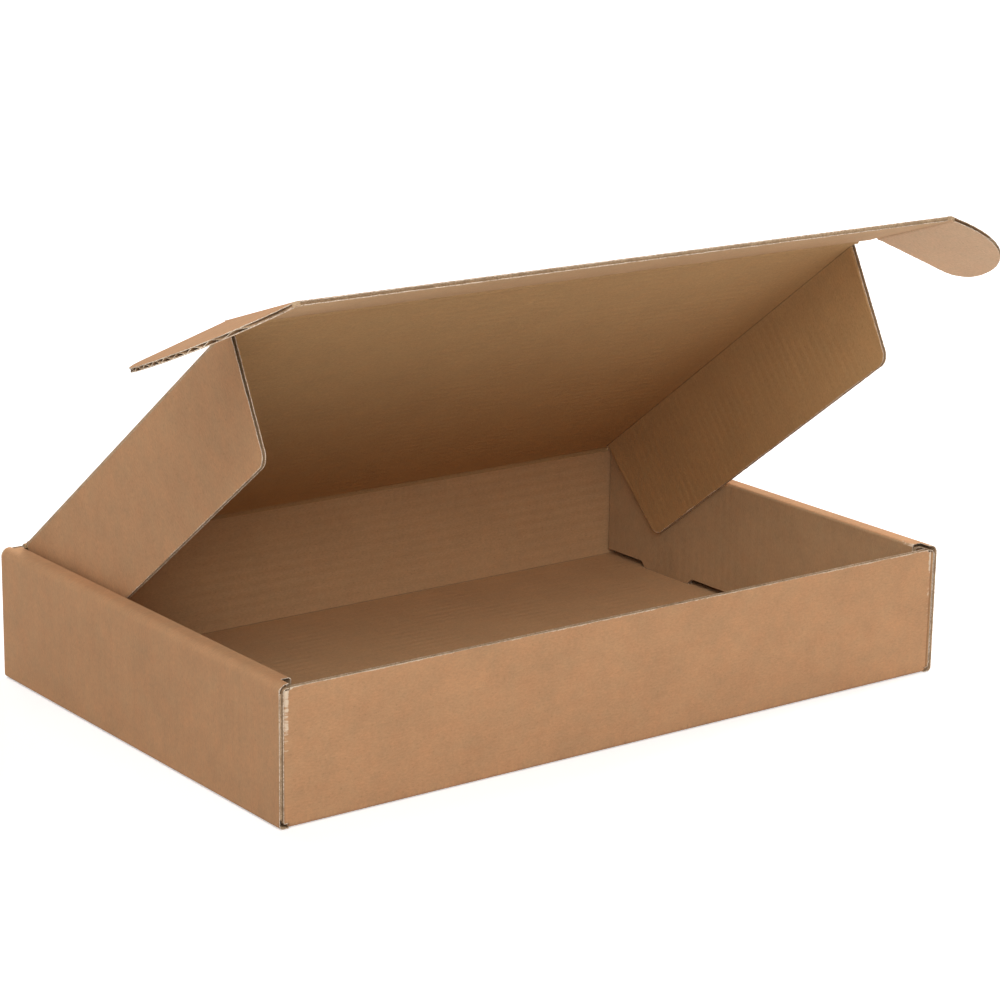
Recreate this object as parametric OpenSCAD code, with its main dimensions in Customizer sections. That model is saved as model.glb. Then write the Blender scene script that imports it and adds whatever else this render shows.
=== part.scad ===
// Roll-end tuck-front mailer box, folded up from one die-cut sheet of corrugated board.
// Origin at the middle of the tray's underside, X along the length, -Y the front, Z up.
// It stands as in the photograph: lid part open, tuck panel and ears nearly flat.

/* [Box] */
// Outside length, left to right
box_l = 470; // [380:5:560]
// Outside width, front to back
box_w = 304; // [260:2:380]
// Outside height of the tray
box_h = 80; // [66:1:110]

/* [Board] */
// Thickness of the corrugated board
board = 3; // [2.6:0.1:3.6]
// Outer radius of the pressed folds
fold_r = 2.4; // [1.4:0.1:2.6]
// Distance from one flute of the core to the next
flute_pitch = 6.5; // [6:0.1:8]
// Thickness of the board's two flat papers
liner = 0.4; // [0.3:0.05:0.6]
// Thickness of the fluted paper between them
medium = 0.3; // [0.2:0.05:0.4]
// How far the pressed folds keep the flutes shut, beyond the board's thickness
flute_stop = 3; // [2:0.5:8]
// Depth of the flute laid open along an edge that is cut parallel to it
cut_groove = 1.5; // [0.5:0.1:2]

/* [Tray] */
// How far the front wall's cut top lies below the rolled side walls
front_drop = 2.5; // [2.2:0.1:6]
// Air between two board layers that lie against each other
layer_gap = 0.2; // [0.1:0.05:0.5]
// Play on each side of an ear in its pocket
pocket_play = 0.3; // [0.25:0.05:0.8]
// Length of the corner flaps inside the side walls
corner_flap_l = 70; // [30:1:90]
// Gap between a corner flap and the panel below or above it
corner_flap_gap = 1; // [0.4:0.1:3]
// From the front face back to the rolled-in panels
roll_setback = 8; // [7.6:0.1:12]
// Height of the rolled-in panels' shoulders above the floor
shoulder_gap = 4; // [2:0.5:8]
// Width of a locking tab at the floor
tab_w = 46; // [20:1:60]
// Distance of a locking tab's middle from the middle of the wall
tab_pos = 86; // [60:1:100]
// Slope of a locking tab's ends
tab_slope = 3; // [0:0.5:5]
// How far a locking tab's end stays above the underside
tab_lift = 0.6; // [0.4:0.1:1.5]
// Air round a locking tab in its floor slot
slot_play = 0.4; // [0.2:0.05:0.8]

/* [Lid] */
// Angle at which the lid stands open
lid_open = 37; // [5:1:120]
// Air between the lid's side flaps and the rolled-in panels
lid_play = 1; // [0.6:0.1:3]
// Air between the closed lid's side flaps and the floor
lid_flap_lift = 2; // [1:0.5:10]
// From the hinge to the rear end of a side flap's fold
lid_flap_rear = 4; // [2.5:0.5:12]
// From the tuck panel's fold back to the front end of a side flap's fold
lid_flap_front = 4.5; // [3.5:0.5:12]
// Slant of a side flap's rear edge
lid_slant_rear = 12; // [6:0.5:30]
// Slant of a side flap's front edge
lid_slant_front = 13; // [6:0.5:30]
// Radius of a side flap's lower corners
lid_flap_r = 8; // [3:0.5:20]

/* [Tuck panel] */
// Angle of the tuck panel below the lid's plane
tuck_fold = 19; // [0:1:60]
// Air between the tucked-in panel and the front wall
tuck_play = 0.5; // [0.3:0.1:1]
// Air between the tucked-in panel's free edge and the floor
tuck_lift = 3; // [2:0.5:15]
// From the tuck panel's fold to the start of its wings
tuck_wing = 2.5; // [2:0.1:5]

/* [Ears] */
// Angle of the left ear below the tuck panel's plane
ear_left_fold = 15; // [0:1:60]
// Angle of the right ear below the tuck panel's plane
ear_right_fold = 27; // [0:1:60]
// Length of an ear from its fold to its round end
ear_l = 71; // [50:1:80]
// From the tuck panel's fold to the ear's rear edge
ear_root = 8; // [7.5:0.5:15]
// Radius of the ear's rear corner
ear_r = 14; // [4:1:25]

/* [Hidden] */
hinge_play = 0.15;
fine = 48;
over = 1;
kraft_outside = [0.72, 0.53, 0.37];
kraft_inside = [0.68, 0.51, 0.37];

half_board = board / 2;
x_out = box_l / 2;
x_panel_in = x_out - board;
x_corner_out = x_panel_in - layer_gap;
x_corner_in = x_corner_out - board;
x_ear_out = x_corner_in - pocket_play;
x_ear_axis = x_ear_out - half_board;
x_roll_out = x_ear_out - board - pocket_play;
x_roll_in = x_roll_out - board;
x_lid = x_roll_in - lid_play;

y_front = -box_w / 2;
y_back = box_w / 2;
y_hinge = y_back - half_board;
z_hinge = box_h - half_board;
y_tuck = y_front + board + tuck_play + half_board;
y_roll_front = y_front + roll_setback;
y_roll_back = y_back - board - layer_gap;

lid_reach = y_hinge - y_tuck;
lid_flap_h = box_h - board - lid_flap_lift;
tuck_depth = box_h - board - tuck_lift;
joint_r = half_board + hinge_play;
ear_arc_s = ear_root + ear_r - 2;
ear_arc_r = (pow(tuck_depth - ear_arc_s, 2) + ear_l * ear_l) / (2 * ear_l);

// A box between two opposite corners.
module block(low, high) {
    translate(low) cube(high - low);
}

// A rod along X, centred on the YZ origin.
module rod_x(r, half_length) {
    rotate([0, 90, 0]) cylinder(r = r, h = 2 * half_length, center = true, $fn = fine);
}

// A rod along -Y between two distances from the origin.
module rod_y(r, from, to) {
    translate([0, -from, 0]) rotate([90, 0, 0]) cylinder(r = r, h = to - from, $fn = fine);
}

// What rounding a square corner at the origin, with the board in +X and +Y, takes away.
module fold_waste(r = fold_r) {
    difference() {
        translate([-over, -over]) square(r + over);
        translate([r, r]) circle(r, $fn = fine);
    }
}

// What rounding an outline's corner takes away, the edges leaving it along two unit vectors.
module corner_waste(corner, along_a, along_b, r) {
    half_angle = acos(along_a * along_b) / 2;
    reach = r / tan(half_angle);
    middle = (along_a + along_b) / norm(along_a + along_b) * r / sin(half_angle);
    translate(corner) difference() {
        polygon([-0.1 * middle, along_a * reach, middle, along_b * reach]);
        translate(middle) circle(r, $fn = fine);
    }
}

// Section of the open channels between the flat papers and the fluted one, X across the flutes.
module flute_section(width) {
    rise = board - 2 * liner - medium;
    for (i = [1 : 2 * floor(width / flute_pitch) - 1])
        translate([i * flute_pitch / 2, 0]) mirror([0, i % 2])
            polygon([for (turn = [-180, -135, -45, 45, 135, 180])
                [turn / 360 * (flute_pitch - medium), liner - half_board + rise * (1 + cos(turn)) / 2]]);
}

// Floor panel with the four slots for the locking tabs.
module floor_panel() {
    inset = fold_r;
    slot_in = x_roll_in - slot_play;
    slot_out = x_roll_out + slot_play;
    half_slot = tab_w / 2 + slot_play;
    difference() {
        block([inset - x_out, y_front + inset, 0], [x_out - inset, y_back - inset, board]);
        for (side = [0, 1], at = [-tab_pos, tab_pos])
            mirror([side, 0, 0]) translate([0, at, 0])
                block([slot_in, -half_slot, -over], [slot_out, half_slot, board + over]);
    }
}

// Front or back wall up to a height, with a corner flap folded in at each end.
// It is drawn as the front wall.
module end_wall(height) {
    flap_top = box_h - board - corner_flap_gap;
    difference() {
        block([-x_corner_out, y_front, 0], [x_corner_out, y_front + board, height]);
        translate([-box_l / 2, y_front, 0]) rotate([90, 0, 90]) linear_extrude(box_l) fold_waste();
        for (side = [0, 1])
            mirror([side, 0, 0]) translate([-x_corner_out, y_front, -over])
                linear_extrude(box_h + 2 * over) fold_waste();
        block([-x_corner_in, y_front + liner, height - cut_groove],
              [x_corner_in, y_front + board - liner, height + over]);
    }
    for (side = [0, 1])
        mirror([side, 0, 0])
            block([x_corner_in, y_front + fold_r, board + corner_flap_gap],
                  [x_corner_out, y_front + corner_flap_l, flap_top]);
}

// Top of the back wall: the pressed bead on which the lid turns.
module lid_bead() {
    block([-x_lid, y_back - board, box_h - 2 * board], [x_lid, y_back, z_hinge]);
    translate([0, y_hinge, z_hinge]) rod_x(half_board, x_lid);
}

// Outer layer of the right side wall, over the whole width.
module side_panel() {
    difference() {
        translate([0, y_back, 0]) rotate([90, 0, 0]) linear_extrude(box_w) difference() {
            translate([x_panel_in, 0]) square([board, box_h]);
            translate([x_out, 0]) mirror([1, 0]) fold_waste();
            translate([x_out, box_h]) rotate(180) fold_waste();
        }
        for (end = [0, 1])
            mirror([0, end, 0])
                block([x_panel_in + liner, y_front - over, fold_r],
                      [x_out - liner, y_front + cut_groove, box_h - board]);
    }
}

// Strip over the right side wall and the panel rolled down behind it.
module roll_profile(bottom) {
    difference() {
        union() {
            translate([x_roll_in, box_h - board]) square([x_out - x_roll_in - half_board, board]);
            translate([x_roll_in, bottom]) square([board, box_h - bottom]);
        }
        translate([x_roll_in, box_h]) mirror([0, 1]) fold_waste();
    }
}

// Outline of the rolled-in panel seen from the side: shoulders, and two tabs down to the slots.
module roll_outline() {
    shoulder = board + shoulder_gap;
    translate([y_roll_front, shoulder]) square([y_roll_back - y_roll_front, box_h - shoulder + over]);
    for (at = [-tab_pos, tab_pos])
        translate([at, 0]) polygon([
            [-tab_w / 2 - tab_slope, shoulder + over],
            [-tab_w / 2 - tab_slope, shoulder],
            [-tab_w / 2, board + over],
            [-tab_w / 2, tab_lift],
            [tab_w / 2, tab_lift],
            [tab_w / 2, board + over],
            [tab_w / 2 + tab_slope, shoulder],
            [tab_w / 2 + tab_slope, shoulder + over]
        ]);
}

// Rolled-over inner layer of the right side wall, its flutes open at the lower edge.
module side_roll() {
    flutes_top = box_h - board - flute_stop;
    flutes_front = y_roll_front + flute_pitch / 2;
    difference() {
        intersection() {
            translate([0, y_back, 0]) rotate([90, 0, 0]) linear_extrude(box_w) roll_profile(0);
            rotate([90, 0, 90]) linear_extrude(box_l) roll_outline();
        }
        translate([x_roll_in + half_board, flutes_front, 0]) rotate(90)
            linear_extrude(flutes_top) flute_section(y_roll_back - flutes_front);
        block([x_roll_in + liner, y_roll_front - over, 0],
              [x_roll_out - liner, y_roll_front + cut_groove, box_h - fold_r]);
        block([x_roll_out, y_roll_front - over, box_h - board + liner],
              [x_panel_in, y_roll_front + cut_groove, box_h - liner]);
    }
}

module tray() {
    color(kraft_outside) {
        floor_panel();
        end_wall(box_h - front_drop);
        mirror([0, 1, 0]) end_wall(box_h - board);
        lid_bead();
        for (side = [0, 1]) mirror([side, 0, 0]) {
            side_panel();
            side_roll();
        }
    }
}

// Places children drawn for the closed lid, with the hinge axis at the origin and the front at -Y.
module on_lid() {
    translate([0, y_hinge, z_hinge]) rotate([-lid_open, 0, 0]) children();
}

// Outline of a lid side flap: X is the distance from the hinge, Y goes down.
module lid_flap_outline() {
    rear = lid_flap_rear;
    front = lid_reach - lid_flap_front;
    depth = lid_flap_h;
    low_rear = [rear + lid_slant_rear, -depth];
    low_front = [front - lid_slant_front, -depth];
    up_rear = [-lid_slant_rear, depth] / norm([lid_slant_rear, depth]);
    up_front = [lid_slant_front, depth] / norm([lid_slant_front, depth]);
    difference() {
        polygon([[rear, 0], low_rear, low_front, [front, 0]]);
        corner_waste(low_rear, [1, 0], up_rear, lid_flap_r);
        corner_waste(low_front, [-1, 0], up_front, lid_flap_r);
    }
}

// Side flap of the lid, drawn on the right for the closed lid, its flutes open at the lower edge.
module lid_flap() {
    flutes_top = board + flute_stop;
    translate([x_lid - board, 0, half_board]) rotate([90, 0, -90]) mirror([0, 0, 1]) difference() {
        linear_extrude(board) lid_flap_outline();
        translate([lid_flap_rear, -flutes_top, half_board]) rotate([90, 0, 0])
            linear_extrude(lid_flap_h) flute_section(lid_reach - lid_flap_rear - lid_flap_front);
    }
}

module lid() {
    rear = joint_r + hinge_play;
    color(kraft_inside) on_lid() {
        difference() {
            union() {
                block([-x_lid, -lid_reach, -half_board], [x_lid, -rear, half_board]);
                for (side = [0, 1]) mirror([side, 0, 0]) lid_flap();
            }
            for (side = [0, 1])
                mirror([side, 0, 0]) translate([x_lid, 0, half_board])
                    rotate([90, 0, 0]) linear_extrude(lid_reach - lid_flap_front)
                        rotate(180) fold_waste();
        }
        translate([0, -lid_reach, 0]) rod_x(half_board, x_lid);
    }
}

// Places children drawn for the tuck panel laid flat in front of its fold axis.
module on_tuck() {
    on_lid() translate([0, -lid_reach, 0]) rotate([tuck_fold, 0, 0]) children();
}

module tuck_panel() {
    inner_start = joint_r + hinge_play;
    color(kraft_inside) on_tuck() {
        difference() {
            union() {
                block([-x_lid, -tuck_depth, -half_board], [x_lid, 0, half_board]);
                block([-x_ear_axis, -tuck_depth, -half_board], [x_ear_axis, -tuck_wing, half_board]);
            }
            rod_x(joint_r, x_lid + over);
            block([-box_l, -inner_start, -board], [box_l, over, 0]);
            block([board - x_ear_axis, -tuck_depth - over, liner - half_board],
                  [x_ear_axis - board, cut_groove - tuck_depth, half_board - liner]);
        }
        for (side = [0, 1])
            mirror([side, 0, 0]) translate([x_ear_axis, 0, 0])
                rod_y(half_board, ear_root, tuck_depth);
    }
}

// Outline of the right ear laid flat: X leads away from its fold, -Y to the tuck panel's free edge.
module ear_outline() {
    intersection() {
        translate([0, -tuck_depth - over]) square([ear_l + over, tuck_depth + over]);
        translate([ear_l - ear_arc_r, -ear_arc_s]) circle(ear_arc_r, $fn = 2 * fine);
        difference() {
            translate([-box_l, -ear_root - box_l]) square([box_l + ear_l, box_l]);
            translate([ear_l, -ear_root]) rotate(180) fold_waste(ear_r);
        }
    }
}

// Ear in its fold's own frame, the fold along Y and the ear towards +X at rest.
module ear(fold) {
    inner_start = joint_r + hinge_play;
    rotate([0, fold, 0]) difference() {
        translate([0, 0, -half_board]) linear_extrude(board) ear_outline();
        rod_y(joint_r, 0, tuck_depth + over);
        block([-over, -tuck_depth - over, -board], [inner_start, 0, 0]);
        translate([joint_r + flute_stop, -tuck_depth, 0]) rotate([90, 0, 90])
            linear_extrude(ear_l) flute_section(tuck_depth - ear_root);
    }
}

module ear_left() {
    color(kraft_outside) on_tuck() mirror([1, 0, 0]) translate([x_ear_axis, 0, 0]) ear(ear_left_fold);
}

module ear_right() {
    color(kraft_outside) on_tuck() translate([x_ear_axis, 0, 0]) ear(ear_right_fold);
}

tray();
lid();
tuck_panel();
ear_left();
ear_right();
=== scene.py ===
"""Corrugated mailer box in Blender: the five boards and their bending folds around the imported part.

Every board is made the way the real one is: an inside liner, an outside liner and the fluted
paper between them. A board starts as one flat sheet, its panels are pulled up from it along the
folds, and the two liners grow from that sheet. Sizes are in millimetres unless a name says so.
"""

from __future__ import annotations

import logging
import math
from collections.abc import Callable, Iterator, Sequence
from contextlib import contextmanager
from dataclasses import dataclass, field
from enum import Enum

import bmesh
import bpy
from mathutils import Matrix, Vector, noise
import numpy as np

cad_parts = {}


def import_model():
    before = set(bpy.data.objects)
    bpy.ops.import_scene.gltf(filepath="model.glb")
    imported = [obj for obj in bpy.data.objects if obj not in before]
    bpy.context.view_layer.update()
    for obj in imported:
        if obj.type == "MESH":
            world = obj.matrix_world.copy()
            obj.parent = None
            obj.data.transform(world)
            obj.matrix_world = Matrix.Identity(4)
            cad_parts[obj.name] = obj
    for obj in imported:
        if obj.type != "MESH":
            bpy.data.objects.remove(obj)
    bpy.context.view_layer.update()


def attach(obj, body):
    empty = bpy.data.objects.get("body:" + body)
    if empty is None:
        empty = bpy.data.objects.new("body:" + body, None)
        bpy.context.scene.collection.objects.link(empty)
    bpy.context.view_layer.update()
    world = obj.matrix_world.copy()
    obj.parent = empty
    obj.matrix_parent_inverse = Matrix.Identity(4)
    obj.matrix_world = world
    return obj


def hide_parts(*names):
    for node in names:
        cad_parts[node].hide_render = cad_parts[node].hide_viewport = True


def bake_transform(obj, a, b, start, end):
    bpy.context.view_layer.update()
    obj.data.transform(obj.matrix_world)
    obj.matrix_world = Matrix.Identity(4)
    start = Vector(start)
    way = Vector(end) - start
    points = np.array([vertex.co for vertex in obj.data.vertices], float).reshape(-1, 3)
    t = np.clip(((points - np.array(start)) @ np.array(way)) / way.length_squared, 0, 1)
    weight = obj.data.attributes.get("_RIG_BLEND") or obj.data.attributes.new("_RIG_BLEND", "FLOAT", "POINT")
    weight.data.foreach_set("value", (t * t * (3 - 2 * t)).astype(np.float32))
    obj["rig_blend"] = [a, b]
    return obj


LOG = logging.getLogger("mailer_box")
MM = 0.001
TINY = 0.02
SMOOTH_UP_TO = math.radians(35)
SQUARE_FROM = math.radians(50)
BLANK_UV = "blank"
WORN = "worn"
PAINTED_CREASE_SHADE = "painted_crease_shade"
RAG_SEED = 5
FLOAT, COLOUR, VECTOR = "NodeSocketFloat", "NodeSocketColor", "NodeSocketVector"

Point = tuple[float, float, float]
Spot = tuple[float, float]
Edges = Sequence[tuple[int, float]]
Values = dict[str | int, object]


def mm(x: float, y: float, z: float) -> Vector:
    """A point or step given in millimetres, in metres."""
    return Vector((x, y, z)) * MM


@dataclass(frozen=True)
class Stock:
    """The corrugated board that the box is cut from."""

    thick: float = 3.0
    liner: float = 0.42
    medium: float = 0.36
    pitch: float = 6.5
    fold_r: float = 2.4
    crush: float = 0.3
    crush_reach: float = 1.1
    rag: float = 0.6
    rag_step: float = 1.6
    rag_scale: float = 350.0
    wear_reach: float = 1.8
    steps: int = 12

    @property
    def half(self) -> float:
        """Half the board's thickness."""
        return self.thick / 2


@dataclass(frozen=True)
class Sizes:
    """Where the box's panels and folds are, as in the part's source."""

    length: float = 470.0
    width: float = 304.0
    height: float = 80.0
    layer_gap: float = 0.2
    pocket_play: float = 0.3
    front_drop: float = 2.5
    flap_gap: float = 1.0
    flap_long: float = 70.0
    roll_setback: float = 8.0
    shoulder: float = 7.0
    tab_wide: float = 46.0
    tab_at: float = 86.0
    tab_slope: float = 3.0
    tab_lift: float = 0.6
    slot_play: float = 0.4
    lid_play: float = 1.0
    lid_open: float = 37.0
    tuck_fold: float = 19.0
    ear_left_fold: float = 15.0
    ear_right_fold: float = 27.0
    lid_flap_rear: float = 4.0
    lid_flap_front: float = 4.5
    lid_flap_deep: float = 75.0
    slant_rear: float = 12.0
    slant_front: float = 13.0
    lid_flap_r: float = 8.0
    tuck_play: float = 0.5
    tuck_deep: float = 74.0
    ear_long: float = 71.0
    ear_root: float = 8.0
    ear_r: float = 14.0
    fold_reach: float = 3.0
    ear_fold_reach: float = 2.5
    board: Stock = field(default_factory=Stock)

    @property
    def x_out(self) -> float:
        """Outer face of a side wall."""
        return self.length / 2

    @property
    def x_side(self) -> float:
        """Inner face of a side wall's outer panel."""
        return self.x_out - self.board.thick

    @property
    def x_corner(self) -> float:
        """Inner face of a corner flap."""
        return self.x_side - self.layer_gap - self.board.thick

    @property
    def x_ear(self) -> float:
        """Fold axis of an ear."""
        return self.x_corner - self.pocket_play - self.board.half

    @property
    def x_roll(self) -> float:
        """Hidden face of a rolled-in panel."""
        return self.x_ear - self.board.half - self.pocket_play

    @property
    def x_lid(self) -> float:
        """Outer face of the lid's side flaps."""
        return self.x_roll - self.board.thick - self.lid_play

    @property
    def y_wall(self) -> float:
        """Inner face of the front and back walls."""
        return self.width / 2 - self.board.thick

    @property
    def y_hinge(self) -> float:
        """Axis on which the lid turns."""
        return self.width / 2 - self.board.half

    @property
    def z_hinge(self) -> float:
        """Height of the lid's axis."""
        return self.height - self.board.half

    @property
    def reach(self) -> float:
        """From the lid's axis to the tuck panel's axis."""
        return self.y_hinge + self.y_wall - self.tuck_play - self.board.half

    def lid_frame(self) -> Matrix:
        """The closed lid's frame, turned to where the lid stands open."""
        turn = Matrix.Rotation(math.radians(-self.lid_open), 4, "X")
        return Matrix.Translation(mm(0, self.y_hinge, self.z_hinge)) @ turn

    def tuck_frame(self) -> Matrix:
        """Frame of the tuck panel, which lies in front of its axis."""
        turn = Matrix.Rotation(math.radians(self.tuck_fold), 4, "X")
        return self.lid_frame() @ Matrix.Translation(mm(0, -self.reach, 0)) @ turn

    def ear_frame(self, side: "Side") -> Matrix:
        """Frame of an ear, which lies in +X of its axis before it is mirrored.

        Args:
            side: The end of the box.

        Returns:
            The frame.
        """
        fold = self.ear_right_fold if side is Side.RIGHT else self.ear_left_fold
        turn = Matrix.Rotation(math.radians(fold), 4, "Y")
        mirror = Matrix.Scale(side.value, 4, Vector((1, 0, 0)))
        return self.tuck_frame() @ mirror @ Matrix.Translation(mm(self.x_ear, 0, 0)) @ turn


class Side(Enum):
    """The two ends of the box, as the sign of X."""

    LEFT = -1
    RIGHT = 1


class Pick(Enum):
    """What a selection in edit mode is made of."""

    CORNER = "VERT"
    LINE = "EDGE"
    FACE = "FACE"


class Skin(Enum):
    """Material slots that every board has, in this order."""

    OUTSIDE = 0
    INSIDE = 1
    CUT = 2
    FLUTE = 3
    # Painted shade: the outside paper in a duller tone, on the rolled-in panels.
    ROLLED_PAINTED_SHADE = 4


def deselect_all() -> None:
    """Leaves nothing selected."""
    for other in list(bpy.context.selected_objects):
        other.select_set(False)


def select_only(*objects: bpy.types.Object) -> None:
    """Selects these objects alone, and makes the first one active."""
    deselect_all()
    for obj in objects:
        obj.select_set(True)
    bpy.context.view_layer.objects.active = objects[0]


def add_primitive(operator: Callable[..., object], name: str, **values: object) -> bpy.types.Object:
    """Adds a primitive with nothing else selected.

    Args:
        operator: One of the operators that add a mesh.
        name: The object's name, and its mesh's.
        values: The operator's settings.

    Returns:
        The new object.
    """
    deselect_all()
    operator(**values)
    obj = bpy.context.active_object
    obj.name = name
    obj.data.name = name
    return obj


@contextmanager
def editing(obj: bpy.types.Object) -> Iterator[None]:
    """Keeps an object in edit mode for the lines inside.

    Args:
        obj: The mesh object, which alone is selected.

    Yields:
        Nothing.
    """
    select_only(obj)
    bpy.ops.object.mode_set(mode="EDIT")
    try:
        yield
    finally:
        bpy.ops.object.mode_set(mode="OBJECT")


def pick_where(obj: bpy.types.Object, kind: Pick, test: Callable[..., bool]) -> int:
    """Selects what passes a test. The object is in edit mode.

    Args:
        obj: The mesh object.
        kind: Corners, lines or faces.
        test: Tells whether one of them is to be selected.

    Returns:
        How many were selected.
    """
    bpy.ops.mesh.select_mode(type=kind.value)
    bpy.ops.mesh.select_all(action="DESELECT")
    mesh = bmesh.from_edit_mesh(obj.data)
    items = {Pick.CORNER: mesh.verts, Pick.LINE: mesh.edges, Pick.FACE: mesh.faces}[kind]
    chosen = [item for item in items if test(item)]
    for item in chosen:
        item.select_set(True)
    bmesh.update_edit_mesh(obj.data)
    return len(chosen)


def apply_modifier(obj: bpy.types.Object, kind: str, **values: object) -> None:
    """Adds a modifier with its values and applies it.

    Args:
        obj: The mesh object that it shapes.
        kind: Blender's name for the modifier's type.
        values: The modifier's settings.
    """
    select_only(obj)
    modifier = obj.modifiers.new(kind.title(), kind)
    for name, value in values.items():
        setattr(modifier, name, value)
    bpy.ops.object.modifier_apply(modifier=modifier.name)


class Bench:
    """One mesh that is shaped in edit mode, as by hand. Boxes and steps are in millimetres."""

    def __init__(self, name: str, low: Spot, high: Spot, z: float) -> None:
        """Starts from a rectangle at a height.

        Args:
            name: The object's name.
            low: Lowest X and Y.
            high: Highest X and Y.
            z: Its height.
        """
        middle = mm((low[0] + high[0]) / 2, (low[1] + high[1]) / 2, z)
        self.obj = add_primitive(bpy.ops.mesh.primitive_plane_add, name, size=1, location=middle)
        self.obj.scale = mm(high[0] - low[0], high[1] - low[1], 0) + Vector((0, 0, 1))
        bpy.ops.object.transform_apply(location=True, rotation=True, scale=True)

    def pick(self, kind: Pick, low: Point, high: Point) -> None:
        """Selects what lies wholly inside a box.

        Args:
            kind: Corners, lines or faces.
            low: Lowest corner of the box.
            high: Highest corner of the box.
        """
        limits = [((a - TINY) * MM, (b + TINY) * MM) for a, b in zip(low, high)]

        def inside(item: bmesh.types.BMVert | bmesh.types.BMEdge | bmesh.types.BMFace) -> bool:
            """Tells whether all its corners are in the box."""
            corners = [item] if kind is Pick.CORNER else item.verts
            return all(a <= c <= b for corner in corners for (a, b), c in zip(limits, corner.co))

        if not pick_where(self.obj, kind, inside):
            LOG.warning("%s: nothing of kind %s between %s and %s", self.obj.name, kind.name, low, high)

    def cut(self, axis: int, places: Sequence[float], low: Point | None = None,
            high: Point | None = None) -> None:
        """Cuts the mesh across one axis at several places.

        Args:
            axis: 0, 1 or 2 for X, Y or Z.
            places: Where to cut.
            low: Lowest corner of the faces to cut, or None for all.
            high: Highest corner of the faces to cut.
        """
        normal = Vector((0, 0, 0))
        normal[axis] = 1
        for place in places:
            if low is None or high is None:
                pick_where(self.obj, Pick.FACE, lambda face: True)
            else:
                self.pick(Pick.FACE, low, high)
            bpy.ops.mesh.bisect(plane_co=normal * (place * MM), plane_no=normal)

    def drop(self, low: Point, high: Point) -> None:
        """Deletes the faces in a box."""
        self.pick(Pick.FACE, low, high)
        bpy.ops.mesh.delete(type="FACE")

    def pull(self, low: Point, high: Point, *steps: Point) -> None:
        """Extrudes the lines in a box, by one step after another.

        Args:
            low: Lowest corner of the box.
            high: Highest corner of the box.
            steps: How far each extrusion goes.
        """
        self.pick(Pick.LINE, low, high)
        for step in steps:
            bpy.ops.mesh.extrude_edges_move(TRANSFORM_OT_translate={"value": mm(*step)})

    def shift(self, place: Point, step: Point) -> None:
        """Moves the corner at a place."""
        self.pick(Pick.CORNER, place, place)
        bpy.ops.transform.translate(value=mm(*step))

    def flip(self) -> None:
        """Turns every face over."""
        bpy.ops.mesh.select_all(action="SELECT")
        bpy.ops.mesh.flip_normals()


def unfold(obj: bpy.types.Object, origin: Spot) -> None:
    """Writes the flat blank's coordinates, in metres, into the sheet's UV map.

    The biggest face in the plane of X and Y keeps its own X and Y, and each neighbour is laid
    flat against the shared fold.

    Args:
        obj: A folded sheet, with its faces turned the same way.
        origin: What is added to the first face's place, in millimetres.
    """
    mesh = bmesh.new()
    mesh.from_mesh(obj.data)
    mesh.normal_update()
    layer = mesh.loops.layers.uv.new(BLANK_UV)
    start = max(mesh.faces, key=lambda f: abs(f.normal.z) * f.calc_area())
    hand = 1 if start.normal.z > 0 else -1
    done = {start: (Vector((0, 0, 0)), Vector(origin) * MM, Vector((1, 0, 0)), Vector((1, 0)))}
    queue = [start]
    while queue:
        face = queue.pop()
        base, base_uv, along, along_uv = done[face]
        across = face.normal.cross(along)
        across_uv = Vector((-along_uv.y, along_uv.x)) * hand
        for loop in face.loops:
            step = loop.vert.co - base
            loop[layer].uv = base_uv + along_uv * step.dot(along) + across_uv * step.dot(across)
        for loop in face.loops:
            first, second = loop, loop.link_loop_next
            run = (second.vert.co - first.vert.co).normalized()
            run_uv = (second[layer].uv - first[layer].uv).normalized()
            for other in loop.edge.link_faces:
                if other not in done:
                    done[other] = (first.vert.co.copy(), first[layer].uv.copy(), run, run_uv)
                    queue.append(other)
    mesh.to_mesh(obj.data)
    mesh.free()


def lay_flat(obj: bpy.types.Object) -> None:
    """Writes each corner's own X and Y, in metres, into the UV map.

    Args:
        obj: A mesh object.
    """
    layer = obj.data.uv_layers.get(BLANK_UV) or obj.data.uv_layers.new(name=BLANK_UV)
    for loop in obj.data.loops:
        place = obj.data.vertices[loop.vertex_index].co
        layer.data[loop.index].uv = (place.x, place.y)


def copy_of(obj: bpy.types.Object, name: str) -> bpy.types.Object:
    """Copies an object and its mesh.

    Args:
        obj: The object.
        name: The copy's name.

    Returns:
        The copy.
    """
    twin = obj.copy()
    twin.data = obj.data.copy()
    twin.name = name
    bpy.context.scene.collection.objects.link(twin)
    return twin


def keep_index(obj: bpy.types.Object, index: int) -> None:
    """Deletes every face that has another material index."""
    with editing(obj):
        pick_where(obj, Pick.FACE, lambda face: face.material_index != index)
        bpy.ops.mesh.delete(type="FACE")


def paint_all(obj: bpy.types.Object, skin: Skin) -> None:
    """Gives every face one material index."""
    for face in obj.data.polygons:
        face.material_index = skin.value


def on_fold(corner: bmesh.types.BMVert, folds: Edges) -> bool:
    """Tells whether a corner lies where the board ends at a moving fold."""
    return any(abs(corner.co[axis] - place * MM) < TINY * MM for axis, place in folds)


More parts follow.
